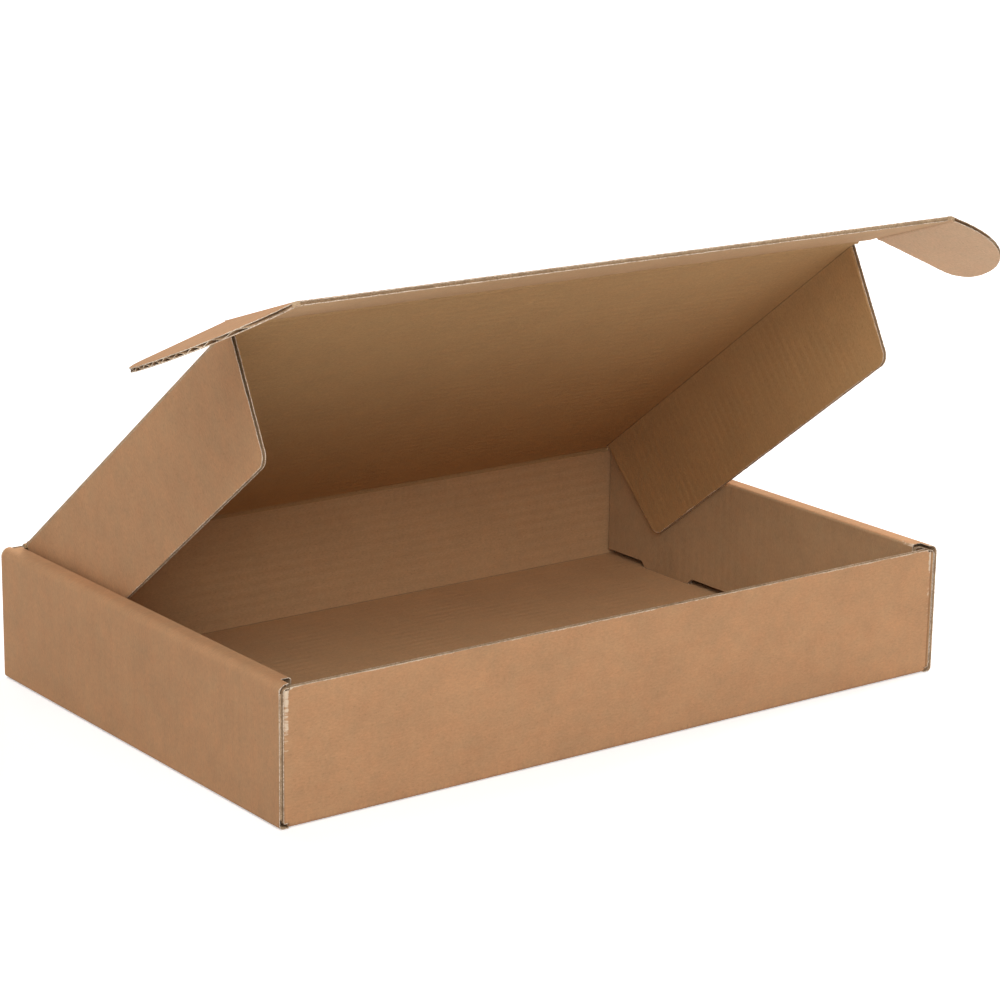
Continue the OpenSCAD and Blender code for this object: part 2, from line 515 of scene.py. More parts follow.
def round_folds(obj: bpy.types.Object, radius_at: Callable[[Vector, Skin], float], skin: Skin,
                steps: int) -> None:
    """Rounds the square folds of a sheet, and writes where their creases are, for the painted shade laid along
    them.

    Args:
        obj: The sheet.
        radius_at: Gives a fold's radius from its middle and the liner, in millimetres.
        skin: Which liner the sheet is.
        steps: Faces across each fold.
    """
    obj.data.attributes.new(PAINTED_CREASE_SHADE, "FLOAT", "POINT")

    def radius_of(edge: bmesh.types.BMEdge) -> float:
        """The radius that a square fold is to get, or 0 for any other edge."""
        if not edge.is_manifold or edge.calc_face_angle(0) <= SQUARE_FROM:
            return 0.0
        return radius_at((edge.verts[0].co + edge.verts[1].co) / 2 / MM, skin)

    with editing(obj):
        mesh = bmesh.from_edit_mesh(obj.data)
        for radius in sorted({radius_of(edge) for edge in mesh.edges} - {0.0}):
            pick_where(obj, Pick.LINE, lambda edge: radius_of(edge) == radius)
            bpy.ops.mesh.bevel(offset=radius * MM, segments=steps, affect="EDGES", clamp_overlap=False)
            mesh = bmesh.from_edit_mesh(obj.data)
            # The bends' corners are marked for painted crease shade, which darkens the liner there.
            layer = mesh.verts.layers.float[PAINTED_CREASE_SHADE]
            for edge in mesh.edges:
                if edge.calc_face_angle(0) > SMOOTH_UP_TO and all(face.select for face in edge.link_faces):
                    for corner in edge.verts:
                        corner[layer] = 1.0
            bmesh.update_edit_mesh(obj.data)


def divide_rims(obj: bpy.types.Object, step: float) -> None:
    """Divides the narrow band along the free edges into short pieces. The object is in edit mode.

    Args:
        obj: A sheet whose faces were inset.
        step: Length of a piece, in millimetres.
    """
    bpy.ops.mesh.select_mode(type="EDGE")
    done: set[int] = set()
    while True:
        bpy.ops.mesh.select_all(action="DESELECT")
        mesh = bmesh.from_edit_mesh(obj.data)
        cuts = 0
        for edge in mesh.edges:
            band = edge.link_faces[0] if edge.is_boundary else None
            count = int(edge.calc_length() / (step * MM))
            if band is None or len(band.verts) != 4 or count < 1 or count in done:
                continue
            if cuts and count != cuts:
                continue
            cuts = count
            loop = next(l for l in band.loops if l.edge is edge)
            for side in (edge, loop.link_loop_next.link_loop_next.edge):
                side.select_set(True)
        if not cuts:
            return
        done.add(cuts)
        bmesh.update_edit_mesh(obj.data)
        bpy.ops.mesh.subdivide(number_cuts=cuts)


def press_cut_lines(obj: bpy.types.Object, stock: Stock, folds: Edges, seed: float) -> None:
    """Presses the sheet in along its free edges, as the cutting knife does, and leaves them ragged.

    Args:
        obj: The sheet, its faces turned to the visible side.
        stock: The board.
        folds: Axis and place of edges that end at a fold and stay as they are.
        seed: Makes each edge ragged in its own way.
    """
    with editing(obj):
        bpy.ops.mesh.select_mode(type="FACE")
        bpy.ops.mesh.select_all(action="SELECT")
        bpy.ops.mesh.inset(thickness=stock.crush_reach * MM, use_boundary=True, use_even_offset=True)
        divide_rims(obj, stock.rag_step)
        pick_where(obj, Pick.CORNER, lambda corner: corner.is_boundary and not on_fold(corner, folds))
        bpy.ops.transform.shrink_fatten(value=-stock.crush * MM)
        mesh = bmesh.from_edit_mesh(obj.data)
        for corner in mesh.verts:
            if corner.select:
                rag = noise.noise_vector(corner.co * stock.rag_scale + Vector((seed, 0, 0)))
                corner.co += rag * stock.rag * stock.crush * MM
        bmesh.update_edit_mesh(obj.data)


def mark_worn(obj: bpy.types.Object, reach: float, folds: Edges) -> None:
    """Writes where the free edges are worn: 1 on the edge, 0 from a narrow band on.

    Args:
        obj: The sheet, with a loop of corners close to each edge that is to be worn.
        reach: The widest band that counts as narrow.
        folds: Axis and place of edges that end at a fold and stay as they are.
    """
    mesh = bmesh.new()
    mesh.from_mesh(obj.data)
    layer = mesh.verts.layers.float.new(WORN)
    for corner in mesh.verts:
        if not corner.is_boundary or on_fold(corner, folds):
            continue
        wide = max(face.calc_area() / max(edge.calc_length() for edge in face.edges)
                   for face in corner.link_faces)
        if wide <= reach * MM:
            corner[layer] = 1.0
    mesh.to_mesh(obj.data)
    mesh.free()


def settle(obj: bpy.types.Object, frame: Matrix) -> None:
    """Puts a piece where its frame says, applies the move and smooths its soft edges.

    Args:
        obj: The piece.
        frame: Its place at rest.
    """
    select_only(obj)
    obj.matrix_world = frame
    bpy.ops.object.transform_apply(location=True, rotation=True, scale=True)
    if frame.determinant() < 0:
        with editing(obj):
            bpy.ops.mesh.select_all(action="SELECT")
            bpy.ops.mesh.normals_make_consistent(inside=False)
    select_only(obj)
    bpy.ops.object.shade_smooth_by_angle(angle=SMOOTH_UP_TO)


def stood_up(y: float) -> Matrix:
    """Frame of an upright panel across the box: X stays, Y goes up and Z to the front."""
    return Matrix.Translation(mm(0, y, 0)) @ Matrix.Rotation(math.pi / 2, 4, "X")


def upright(side: int, x: float) -> Matrix:
    """Frame of an upright panel: X goes up, Y along the side wall and Z out of the box.

    Args:
        side: -1 for the left, 1 for the right.
        x: Distance of the panel's middle from the box's middle.

    Returns:
        The frame.
    """
    turn = Matrix(((0, 0, side, 0), (0, 1, 0, 0), (1, 0, 0, 0), (0, 0, 0, 1)))
    return Matrix.Translation(mm(side * x, 0, 0)) @ turn


class Graph:
    """A node tree that is filled from left to right."""

    def __init__(self, tree: bpy.types.NodeTree) -> None:
        """Starts with an empty tree."""
        self.tree = tree
        tree.nodes.clear()

    def add(self, kind: str, values: Values | None = None, **settings: object) -> bpy.types.Node:
        """Adds a node.

        Args:
            kind: The node's type.
            values: Values or links for its input sockets.
            settings: The node's own settings.

        Returns:
            The node.
        """
        node = self.tree.nodes.new(kind)
        for name, value in settings.items():
            setattr(node, name, value)
        for socket, value in (values or {}).items():
            if isinstance(value, bpy.types.NodeSocket):
                self.tree.links.new(value, node.inputs[socket])
            else:
                node.inputs[socket].default_value = value
        return node

    def calc(self, operation: str, first: object, second: object) -> bpy.types.NodeSocket:
        """Combines two values."""
        return self.add("ShaderNodeMath", {0: first, 1: second}, operation=operation).outputs[0]

    def plus(self, first: object, second: object) -> bpy.types.NodeSocket:
        """The sum of two values."""
        return self.calc("ADD", first, second)

    def times(self, first: object, second: object) -> bpy.types.NodeSocket:
        """The product of two values."""
        return self.calc("MULTIPLY", first, second)

    def mix(self, share: object, first: object, second: object, blend: str = "MIX") -> bpy.types.NodeSocket:
        """A mix of two colours."""
        values = {0: share, 6: first, 7: second}
        return self.add("ShaderNodeMix", values, data_type="RGBA", blend_type=blend).outputs[2]

    def grey(self, value: object) -> bpy.types.NodeSocket:
        """A grey of one value."""
        return self.add("ShaderNodeCombineColor", {0: value, 1: value, 2: value}).outputs[0]

    def noise(self, place: object, scale: float, detail: float, rough: float = 0.5) -> bpy.types.NodeSocket:
        """Soft noise around 0.5."""
        values = {"Vector": place, "Scale": scale, "Detail": detail, "Roughness": rough}
        return self.add("ShaderNodeTexNoise", values).outputs[0]

    def span(self, value: object, low: float, high: float, to_low: float = 0.0,
             to_high: float = 1.0) -> bpy.types.NodeSocket:
        """Maps a value's range to another one, and holds it there."""
        return self.add("ShaderNodeMapRange", {0: value, 1: low, 2: high, 3: to_low, 4: to_high}).outputs[0]

    def attribute(self, name: str) -> bpy.types.NodeSocket:
        """The value that a mesh carries under a name."""
        return self.add("ShaderNodeAttribute", attribute_name=name).outputs["Fac"]

    def seen(self) -> bpy.types.NodeSocket:
        """1 for the rays that see the backdrop: the camera's, and those by way of metal and glass."""
        rays = self.add("ShaderNodeLightPath").outputs
        seen = self.calc("MAXIMUM", rays["Is Camera Ray"], rays["Is Glossy Ray"])
        return self.calc("MAXIMUM", seen, rays["Is Transmission Ray"])

    def paper(self, values: Values, bump: Values) -> None:
        """Ends the tree in a surface with a bump.

        Args:
            values: Values or links for the shader's sockets.
            bump: The same for the bump's.
        """
        normal = self.add("ShaderNodeBump", bump).outputs[0]
        shader = self.add("ShaderNodeBsdfPrincipled", {**values, "Normal": normal})
        self.add("ShaderNodeOutputMaterial", {0: shader.outputs[0]})


def new_material(name: str) -> tuple[bpy.types.Material, Graph]:
    """Makes a material, and the graph of its empty tree."""
    material = bpy.data.materials.new(name)
    material.use_nodes = True
    return material, Graph(material.node_tree)


def new_group(name: str, inputs: dict[str, tuple[str, object]],
              outputs: dict[str, str]) -> tuple[Graph, bpy.types.NodeOutputs]:
    """Makes an empty shader node group.

    Args:
        name: The group's name.
        inputs: Socket type and first value of each input.
        outputs: Socket type of each output.

    Returns:
        The graph, and what its input node gives.
    """
    tree = bpy.data.node_groups.new(name, "ShaderNodeTree")
    for label, (kind, value) in inputs.items():
        socket = tree.interface.new_socket(label, in_out="INPUT", socket_type=kind)
        if value is not None:
            socket.default_value = value
    for label, kind in outputs.items():
        tree.interface.new_socket(label, in_out="OUTPUT", socket_type=kind)
    graph = Graph(tree)
    return graph, graph.add("NodeGroupInput").outputs


class PaperEffects:
    """Node groups that the paper finishes share. Each is built once."""

    def __init__(self) -> None:
        """Builds the groups."""
        self.fibre = self._fibre()
        self.washboard = self._washboard()
        self.frayed = self._frayed()
        self.edge_wear = self._edge_wear()

    @staticmethod
    def _fibre() -> bpy.types.NodeTree:
        """Cloudy tone, long fibres and fine specks of kraft paper."""
        graph, given = new_group(
            "kraft fibre",
            {"Blank": (VECTOR, None), "Tone": (COLOUR, (0.5, 0.3, 0.15, 1)), "Cloud": (FLOAT, 0.1),
             "Fibre": (FLOAT, 0.1), "Speck": (FLOAT, 0.2), "Hue": (FLOAT, 0.05)},
            {"Color": COLOUR, "Height": FLOAT},
        )
        blank = given["Blank"]
        cloud = graph.span(graph.noise(blank, 28, 5, 0.62), 0.32, 0.68, -1, 1)
        patch = graph.span(graph.noise(blank, 130, 4, 0.6), 0.3, 0.7, -1, 1)
        stretched = graph.add("ShaderNodeMapping", {"Vector": blank, "Scale": (0.5, 1.0, 1.0)}).outputs[0]
        fibres = graph.span(graph.noise(stretched, 900, 4, 0.75), 0.3, 0.7, -1, 1)
        flecks = graph.span(graph.noise(blank, 700, 3, 0.6), 0.60, 0.72)
        drift = graph.span(graph.noise(blank, 75, 4, 0.65), 0.34, 0.66, -1, 1)
        clouds = graph.plus(graph.times(cloud, 0.6), graph.times(patch, 0.4))
        tone = graph.plus(graph.times(clouds, given["Cloud"]), graph.times(fibres, given["Fibre"]))
        shade = graph.calc("SUBTRACT", graph.plus(tone, 1), graph.times(flecks, given["Speck"]))
        hue = graph.times(drift, given["Hue"])
        red = graph.times(shade, graph.plus(1, hue))
        blue = graph.times(shade, graph.calc("SUBTRACT", 1, graph.times(hue, 0.4)))
        tint = graph.add("ShaderNodeCombineColor", {0: red, 1: shade, 2: blue}).outputs[0]
        graph.add("NodeGroupOutput", {"Color": graph.mix(1.0, given["Tone"], tint, "MULTIPLY"),
                                      "Height": graph.times(graph.plus(fibres, clouds), 0.5)})
        return graph.tree

    @staticmethod
    def _washboard() -> bpy.types.NodeTree:
        """The flutes that show through a liner, strong in some places and weak in others."""
        graph, given = new_group(
            "flutes showing through", {"Blank": (VECTOR, None), "Pitch": (FLOAT, 0.0065)}, {"Value": FLOAT})
        across = graph.add("ShaderNodeSeparateXYZ", {0: given["Blank"]}).outputs[1]
        wave = graph.calc("SINE", graph.times(graph.calc("DIVIDE", across, given["Pitch"]), math.tau), 0.0)
        local = graph.span(graph.noise(given["Blank"], 22, 2), 0.35, 0.65, 0.25, 1.0)
        graph.add("NodeGroupOutput", {"Value": graph.times(wave, local)})
        return graph.tree

    @staticmethod
    def _edge_wear() -> bpy.types.NodeTree:
        """Ragged pale fringe where a liner was cut through."""
        graph, given = new_group(
            "worn cut", {"Blank": (VECTOR, None), "Worn": (FLOAT, 0.0)}, {"Value": FLOAT})
        rag = graph.span(graph.noise(given["Blank"], 420, 4, 0.7), 0.3, 0.7, -0.45, 0.25)
        patch = graph.span(graph.noise(given["Blank"], 60, 2), 0.35, 0.65, -0.3, 0.1)
        edge = graph.plus(graph.plus(given["Worn"], rag), patch)
        graph.add("NodeGroupOutput", {"Value": graph.span(edge, 0.45, 0.75)})
        return graph.tree

    @staticmethod
    def _frayed() -> bpy.types.NodeTree:
        """Pale torn fibres along a cut, with darker stretches."""
        graph, given = new_group(
            "frayed cut",
            {"Place": (VECTOR, None), "Dark": (COLOUR, (0.2, 0.1, 0.05, 1)),
             "Pale": (COLOUR, (0.7, 0.5, 0.35, 1))},
            {"Color": COLOUR, "Height": FLOAT},
        )
        fray = graph.noise(given["Place"], 900, 4, 0.7)
        dash = graph.span(graph.noise(given["Place"], 130, 3, 0.6), 0.36, 0.5, 0.45, 1)
        share = graph.times(graph.span(fray, 0.32, 0.6), dash)
        colour = graph.mix(share, given["Dark"], given["Pale"])
        graph.add("NodeGroupOutput", {"Color": colour, "Height": fray})
        return graph.tree


@dataclass(frozen=True)
class LinerFinish:
    """One face of the kraft liner, the outside unless its values say otherwise."""

    name: str
    tone: Point
    cloud: float = 0.10
    fibre: float = 0.11
    speck: float = 0.16
    hue: float = 0.035
    stripes: float = 0.006
    relief: float = 0.25
    worn: Point = (0.74, 0.58, 0.42)
    # Painted shade in the creases: a near-black brown, mixed in at the crease share.
    painted_crease_shade: Point = (0.05, 0.025, 0.01)
    crease: float = 0.55
    rough: float = 0.86
    rough_play: float = 0.06

    def build(self, effects: PaperEffects, pitch: float) -> bpy.types.Material:
        """Makes the material.

        Args:
            effects: The shared node groups.
            pitch: The flutes' pitch.

        Returns:
            The material.
        """
        material, graph = new_material(self.name)
        blank = graph.add("ShaderNodeUVMap", uv_map=BLANK_UV).outputs[0]
        values = {"Blank": blank, "Tone": (*self.tone, 1), "Cloud": self.cloud, "Fibre": self.fibre,
                  "Speck": self.speck, "Hue": self.hue}
        fibre = graph.add("ShaderNodeGroup", values, node_tree=effects.fibre).outputs
        wash = graph.add("ShaderNodeGroup", {"Blank": blank, "Pitch": pitch * MM},
                         node_tree=effects.washboard).outputs[0]
        wear = graph.add("ShaderNodeGroup", {"Blank": blank, "Worn": graph.attribute(WORN)},
                         node_tree=effects.edge_wear).outputs[0]
        stripe = graph.plus(graph.times(wash, self.stripes), 1)
        colour = graph.mix(1.0, fibre["Color"], graph.grey(stripe), "MULTIPLY")
        colour = graph.mix(wear, colour, (*self.worn, 1))
        # Painted shade: darkens the liner towards a near-black brown at the bends of its folds.
        colour = graph.mix(graph.times(graph.attribute(PAINTED_CREASE_SHADE), self.crease), colour, (*self.painted_crease_shade, 1))
        height = graph.plus(graph.times(wash, self.relief), graph.times(fibre["Height"], 0.12))
        rough = graph.span(fibre["Height"], -1, 1, self.rough - self.rough_play, self.rough + self.rough_play)
        graph.paper({"Base Color": colour, "Roughness": rough, "Specular IOR Level": 0.25},
                    {"Strength": 0.5, "Distance": 0.0004, "Height": height})
        return material


@dataclass(frozen=True)
class CutFinish:
    """The cut edge of a liner, or the fluted paper behind it."""

    name: str
    dark: Point
    pale: Point

    def build(self, effects: PaperEffects) -> bpy.types.Material:
        """Makes the material.

        Args:
            effects: The shared node groups.

        Returns:
            The material.
        """
        material, graph = new_material(self.name)
        values = {"Place": graph.add("ShaderNodeTexCoord").outputs["Object"],
                  "Dark": (*self.dark, 1), "Pale": (*self.pale, 1)}
        frayed = graph.add("ShaderNodeGroup", values, node_tree=effects.frayed).outputs
        rough = graph.span(frayed["Height"], 0.3, 0.7, 0.88, 0.98)
        graph.paper({"Base Color": frayed["Color"], "Roughness": rough, "Specular IOR Level": 0.15},
                    {"Strength": 0.4, "Distance": 0.0002, "Height": frayed["Height"]})
        return material


class BoardFinish:
    """The materials of a board, in the order of Skin."""

    def __init__(self, stock: Stock, effects: PaperEffects, name: str, tone: Point) -> None:
        """Builds the materials.

        Args:
            stock: The board.
            effects: The shared node groups.
            name: What the inside liner's material is named after.
            tone: Colour of the inside liner, with the light on this board painted in.
        """
        outside = LinerFinish("kraft_outside", (0.518, 0.281, 0.141))
        # The inside tone carries this board's painted light and shade.
        inside = LinerFinish(f"kraft_inside_{name}", tone, 0.06, 0.12, 0.20, 0.02, stripes=0.010, relief=0.35)
        # Painted shade: a duller copy of the outside paper for the rolled-in panels, which are the same paper.
        rolled = LinerFinish("kraft_outside_painted_shade_rolled", (0.470, 0.305, 0.168))
        cut = CutFinish("cut_edge", (0.34, 0.21, 0.12), (0.86, 0.73, 0.58))
        flute = CutFinish("fluted_paper", (0.36, 0.235, 0.135), (0.60, 0.42, 0.26))
        self.materials = [outside.build(effects, stock.pitch), inside.build(effects, stock.pitch),
                          cut.build(effects), flute.build(effects), rolled.build(effects, stock.pitch)]

    def dress(self, obj: bpy.types.Object) -> None:
        """Puts the materials in a new object's slots."""
        for material in self.materials:
            obj.data.materials.append(material)


@dataclass
class Board:
    """A piece of board that rides on one body and stands for one node."""

    sizes: Sizes
    finish: BoardFinish
    name: str = "board"
    node: str = "node"
    body: str = "body"
    slot: str = "slot"
    crushed: bool = True
    inside_r: float = 0.7
    inside_steps: int = 2
    outside_steps: int = 6
    rag_shift: float = 7.3
    in_fold: float = 2.2
    blank_at: Spot = (0.0, 0.0)

    def sheet(self) -> bpy.types.Object:
        """The board's inside face, folded, in the board's own frame."""
        raise NotImplementedError

    def flutes(self) -> list[bpy.types.Object]:
        """The fluted paper of its panels, in the board's own frame."""
        raise NotImplementedError

    def frame(self) -> Matrix:
        """Where the board's own frame is at rest."""
        return Matrix.Identity(4)

    def folds(self) -> list[tuple[int, float]]:
        """Axis and place of the edges that end at a moving fold."""
        return []

    def fold_radius(self, at: Vector, skin: Skin) -> float:
        """Radius of the fold at a place on a liner. Most folds are pressed alike."""
        return self.inside_r if skin is Skin.INSIDE else self.sizes.board.fold_r

    def touch_up(self, board: bpy.types.Object) -> None:
        """Gives single faces of the joined board another finish."""

    def liners(self) -> list[bpy.types.Object]:
        """Grows the inside liner from the sheet, and the outside liner from a copy of it."""
        stock, folds = self.sizes.board, self.folds()
        inner = self.sheet()
        self.finish.dress(inner)
        outer = copy_of(inner, inner.name + "_outer")
        apply_modifier(outer, "SOLIDIFY", thickness=stock.thick * MM, offset=-1, material_offset=1,
                       material_offset_rim=2, solidify_mode="NON_MANIFOLD",
                       nonmanifold_thickness_mode="CONSTRAINTS", nonmanifold_boundary_mode="FLAT")
        keep_index(outer, 1)
        sides = ((inner, Skin.INSIDE, self.inside_steps), (outer, Skin.OUTSIDE, self.outside_steps))
        for liner, skin, steps in sides:
            paint_all(liner, skin)
            if self.crushed:
                press_cut_lines(liner, stock, folds, self.rag_shift * skin.value)
            round_folds(liner, self.fold_radius, skin, steps)
            mark_worn(liner, stock.wear_reach * stock.crush_reach, folds)
            with editing(liner):
                bpy.ops.mesh.select_all(action="SELECT")
                bpy.ops.mesh.remove_doubles(threshold=TINY * MM)
                bpy.ops.mesh.dissolve_degenerate(threshold=TINY * MM)
            apply_modifier(liner, "SOLIDIFY", thickness=stock.liner * MM, offset=-1, use_quality_normals=True,
                           material_offset=Skin.FLUTE.value - skin.value,
                           material_offset_rim=Skin.CUT.value - skin.value)
        return [inner, outer]

    def flute(self, name: str, along: Spot, across: Spot, frame: Matrix, outline: Sequence[Spot] = (),
              lean: float = 0.0, phase: float = 0.0) -> bpy.types.Object:
        """Makes the fluted paper of one flat panel.

        Args:
            name: The object's name.
            along: From and to, along the flutes.
            across: From and to, across the flutes.
            frame: Puts X along the flutes, Y across them and Z through the board's middle.
            outline: A convex outline that trims it, turning left.
            lean: How many millimetres the flutes drift sideways per millimetre of length.
            phase: Where the wave starts, in turns.

        Returns:
            The fluted sheet, in place.
        """
        stock = self.sizes.board
        wide, long = across[1] - across[0], along[1] - along[0]
        columns = max(4, round(wide / stock.pitch * stock.steps))
        obj = add_primitive(bpy.ops.mesh.primitive_grid_add, name, x_subdivisions=1, y_subdivisions=columns,
                            size=1)
        crest = (stock.thick - 2 * stock.liner - stock.medium) / 2
        for corner in obj.data.vertices:
            x = along[0] + (corner.co.x + 0.5) * long
            y = across[0] + (corner.co.y + 0.5) * wide
            turn = math.tau * ((y + lean * x) / stock.pitch + phase)
            corner.co = mm(x, y, crest * math.sin(turn))
        with editing(obj):
            for first, second in zip(outline, [*outline[1:], *outline[:1]]):
                run = Vector((second[0] - first[0], second[1] - first[1], 0))
                if run.length < TINY:
                    continue
                bpy.ops.mesh.select_all(action="SELECT")
                bpy.ops.mesh.bisect(plane_co=mm(first[0], first[1], 0),
                                    plane_no=Vector((run.y, -run.x, 0)).normalized(), clear_outer=True)
        self.finish.dress(obj)
        paint_all(obj, Skin.FLUTE)
        apply_modifier(obj, "SOLIDIFY", thickness=stock.medium * MM, offset=0,
                       material_offset_rim=Skin.CUT.value - Skin.FLUTE.value)
        lay_flat(obj)
        obj.data.transform(frame)
        return obj

    def build(self) -> bpy.types.Object:
        """Makes the board's layers, joins them and hangs the board on its body."""
        select_only(*self.liners(), *self.flutes())
        bpy.ops.object.join()
        board = bpy.context.active_object
        board.name = self.name
        board.data.name = self.name
        self.touch_up(board)
        settle(board, self.frame())
        apply_modifier(board, "WEIGHTED_NORMAL", keep_sharp=True, weight=100)
        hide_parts(self.node)
        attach(board, self.body)
        LOG.info("%s stands for %s, %d faces", board.name, self.node, len(board.data.polygons))
        return board


@dataclass
class Tray(Board):
    """Floor, four walls, corner flaps and the rolled-in side panels, folded as one."""

    name: str = "tray_board"
    node: str = "tray"
    body: str = "tray"
    slot: str = "tray_board"
    crushed: bool = False
    flap_slit: float = 0.2
    curl_gap: float = 0.1
    lug_gap: float = 0.15
    lug_drop: float = 0.5
    rim_inset: float = 0.8
    roll_rear_gap: float = 1.2
    tab_knee: float = 1.0
    top_r_inside: float = 2.0
    edge_in: float = 0.3
    tab_in: float = 0.2
    rim_in: float = 0.4

    @property
    def roll_ends(self) -> Spot:
        """Front and rear ends of the rolled-in panels."""
        return -self.sizes.width / 2 + self.sizes.roll_setback, self.sizes.y_wall - self.roll_rear_gap

    def sheet(self) -> bpy.types.Object:
        """The tray's inside face, pulled up from the floor."""
        s, b = self.sizes, self.sizes.board
        y_out = s.width / 2
        floor, rim = b.thick, s.height - b.thick
        slit = s.x_corner + self.flap_slit
        foot = s.tab_wide / 2 + s.tab_slope
        bench = Bench("tray_sheet", (-s.x_side, -y_out), (s.x_side, y_out), floor)
        with editing(bench.obj):
            bench.cut(0, [side * x for side in (-1, 1)
                          for x in (s.x_lid + self.lug_gap, s.x_corner - self.rim_inset, s.x_corner, slit)])
            bench.cut(1, [-s.y_wall, s.y_wall, *self.roll_ends,
                          *(at + end * foot for at in (-s.tab_at, s.tab_at) for end in (-1, 1))])
            for end in (-1, 1):
                low, high = sorted((end * s.y_wall, end * y_out))
                bench.drop((-slit, low, floor), (slit, high, floor))
            self._cut_slots(bench, floor)
            self._raise_end(bench, -1, rim - s.flap_gap, s.height - s.front_drop)
            self._raise_end(bench, 1, s.z_hinge - s.fold_reach, s.height - self.lug_drop)
            for side in (-1, 1):
                self._raise_side(bench, side, floor, rim)
            bpy.ops.mesh.select_all(action="SELECT")
            bpy.ops.mesh.remove_doubles(threshold=TINY * MM / 2)
        unfold(bench.obj, self.blank_at)
        return bench.obj

    def fold_radius(self, at: Vector, skin: Skin) -> float:
        """The side walls' tops are rolled over softly, the other folds are pressed sharp.

        Args:
            at: The fold's middle, in millimetres.
            skin: The liner.

        Returns:
            The fold's radius.
        """
        s = self.sizes
        if at.z < s.height - s.board.thick - 1:
            return super().fold_radius(at, skin)
        if abs(at.x) > s.x_corner:
            return self.top_r_inside + (0.0 if skin is Skin.INSIDE else s.board.thick)
        return self.inside_r if skin is Skin.INSIDE else self.top_r_inside

    def touch_up(self, board: bpy.types.Object) -> None:
        """Gives the rolled-in panels' visible faces a duller copy of the outside liner, as painted shade: they
        are the same paper.

        Args:
            board: The joined tray.
        """
        place = (self.sizes.x_roll - self.sizes.board.thick) * MM
        for face in board.data.polygons:
            if (face.material_index == Skin.OUTSIDE.value and abs(abs(face.center.x) - place) < 0.5 * MM
                    and face.normal.x * face.center.x < 0):
                face.material_index = Skin.ROLLED_PAINTED_SHADE.value

    def _cut_slots(self, bench: Bench, floor: float) -> None:
        """Cuts the four slots that hold the locking tabs.

        Args:
            bench: The sheet.
            floor: Height of the floor's face.
        """
        s, b = self.sizes, self.sizes.board
        inner, outer = s.x_roll - b.thick - s.slot_play, s.x_roll + s.slot_play
        half = s.tab_wide / 2 + s.slot_play
        low, high = (-s.x_corner, -s.y_wall, floor), (s.x_corner, s.y_wall, floor)
        bench.cut(0, [side * x for side in (-1, 1) for x in (inner, outer)], low, high)
        bench.cut(1, [at + end * half for at in (-s.tab_at, s.tab_at) for end in (-1, 1)], low, high)
        for side in (-1, 1):
            for at in (-s.tab_at, s.tab_at):
                x_low, x_high = sorted((side * inner, side * outer))
                bench.drop((x_low, at - half, floor), (x_high, at + half, floor))

    def _raise_end(self, bench: Bench, end: int, head: float, top: float) -> None:
        """Pulls up the front or back wall, and folds its corner flaps in.

        Args:
            bench: The sheet.
            end: -1 for the front, 1 for the back.
            head: Height of the corner flaps' upper edge.
            top: Height of the wall's cut edge.
        """
        s = self.sizes
        y, x_rim = end * s.y_wall, s.x_corner - self.rim_inset
        floor = s.board.thick
        foot = floor + s.flap_gap
        bench.pull((-s.x_corner, y, floor), (s.x_corner, y, floor), (0, 0, foot - floor), (0, 0, head - foot))
        if end < 0:
            band = s.board.crush_reach
            bench.pull((-x_rim, y, head), (x_rim, y, head), (0, 0, top - head - band), (0, 0, band))
        for side in (-1, 1):
            if end > 0:
                low, high = sorted((side * (s.x_lid + self.lug_gap), side * x_rim))
                bench.pull((low, y, head), (high, y, head), (0, 0, top - head))
            x = side * s.x_corner
            bench.pull((x, y, foot), (x, y, head), (0, -end * (s.flap_long - s.board.thick), 0))

    def _raise_side(self, bench: Bench, side: int, floor: float, rim: float) -> None:
        """Pulls up a side wall, rolls it over and down, and ends it in two locking tabs.

        Args:
            bench: The sheet.
            side: -1 for the left, 1 for the right.
            floor: Height of the floor's face.
            rim: Height of the strip over the top, on its inside.
        """
        s = self.sizes
        front, rear = self.roll_ends
        x, curl, x_roll = side * s.x_side, side * (s.x_corner + self.curl_gap), side * s.x_roll
        knee = floor + self.tab_knee
        bench.pull((x, -s.width / 2, floor), (x, s.width / 2, floor), (0, 0, rim - floor))
        bench.pull((x, -s.width / 2, rim), (x, s.width / 2, rim), (curl - x, 0, 0))
        bench.pull((curl, front, rim), (curl, rear, rim), (x_roll - curl, 0, 0), (0, 0, s.shoulder - rim))
        half, foot = s.tab_wide / 2, s.tab_wide / 2 + s.tab_slope
        for at in (-s.tab_at, s.tab_at):
            bench.pull((x_roll, at - foot, s.shoulder), (x_roll, at + foot, s.shoulder),
                       (0, 0, knee - s.shoulder))
            for end in (-1, 1):
                bench.shift((x_roll, at + end * foot, knee), (0, -end * s.tab_slope, 0))
            bench.pull((x_roll, at - half, knee), (x_roll, at + half, knee), (0, 0, s.tab_lift - knee))

